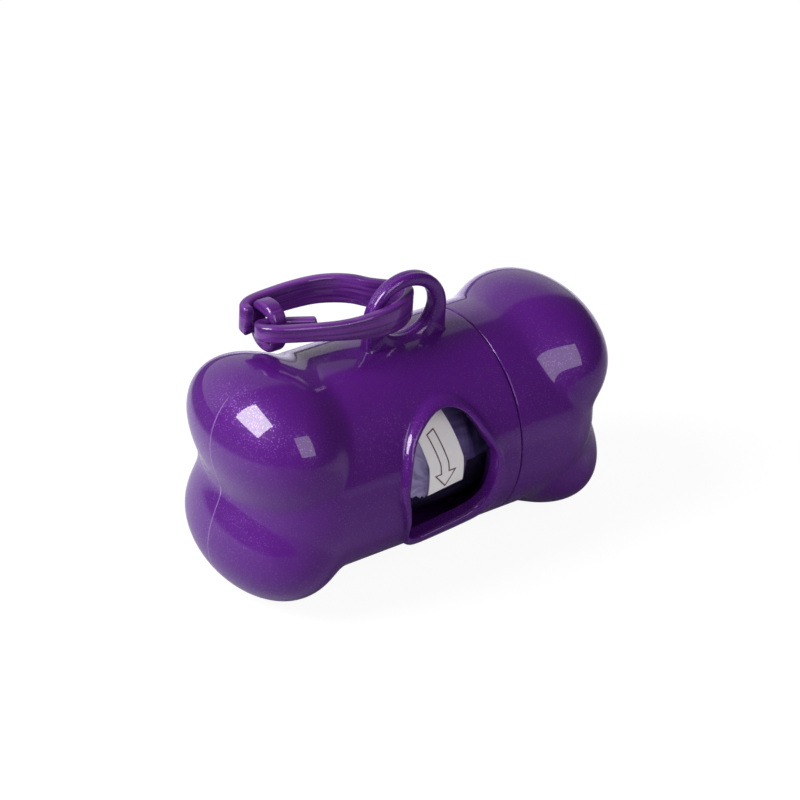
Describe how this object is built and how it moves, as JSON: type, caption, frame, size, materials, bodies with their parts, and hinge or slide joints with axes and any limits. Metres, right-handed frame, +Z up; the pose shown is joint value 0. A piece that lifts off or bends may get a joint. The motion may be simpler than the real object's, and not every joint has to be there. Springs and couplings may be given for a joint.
{
  "type": "dog waste bag dispenser",
  "caption": "Bone-shaped dispenser for a roll of dog waste bags, with a screw-on end cap, a bag window and a hook-and-eye clip through an eyelet on top.",
  "frame": {"origin": "on the surface that the bone's two lower lobes stand on, below the middle of the bone", "axes": "+X along the bone towards the screw cap, -Y the side with the bag window, +Z up through the eyelet"},
  "size_m": [0.0822, 0.0413, 0.0556],
  "materials": {
    "shell_plastic": "glossy violet with fine glitter",
    "ring_plastic": "violet, semi-gloss",
    "clip_plastic": "violet, satin with flow marks",
    "bag_film": "thin creased film",
    "label_paper": "white paper",
    "cardboard": "grey-brown cardboard"
  },
  "bodies": {
    "body": {"body_front_shell": "shell_plastic", "body_rear_shell": "shell_plastic", "neck_ring": "ring_plastic"},
    "cap_thread": {"cap_collar": "ring_plastic"},
    "cap": {"cap_front_shell": "shell_plastic", "cap_rear_shell": "shell_plastic"},
    "roll": {"roll_core": "cardboard", "bag_roll": "bag_film", "loose_bag": "bag_film", "roll_label": "label_paper"},
    "clip": {"clip": "clip_plastic"}
  },
  "joints": [
    {"name": "cap_travel", "type": "slide", "parent": "body", "child": "cap_thread", "axis": [1, 0, 0], "range_m": [0, 0.0081]},
    {"name": "cap_twist", "type": "hinge", "parent": "cap_thread", "child": "cap", "pos_m": [0.0134, 0, 0.0223], "axis": [1, 0, 0], "range_deg": [0, 720]},
    {"name": "roll_spin", "type": "hinge", "parent": "body", "child": "roll", "pos_m": [0, 0, 0.0216], "axis": [1, 0, 0], "continuous": true},
    {"name": "clip_swing", "type": "hinge", "parent": "body", "child": "clip", "pos_m": [0, 0, 0.0476], "axis": [0, 1, 0], "range_deg": [0, 170]}
  ],
  "couplings": [
    {"joint": "cap_travel", "follows": "cap_twist", "m_per_rad": 0.00063662}
  ]
}
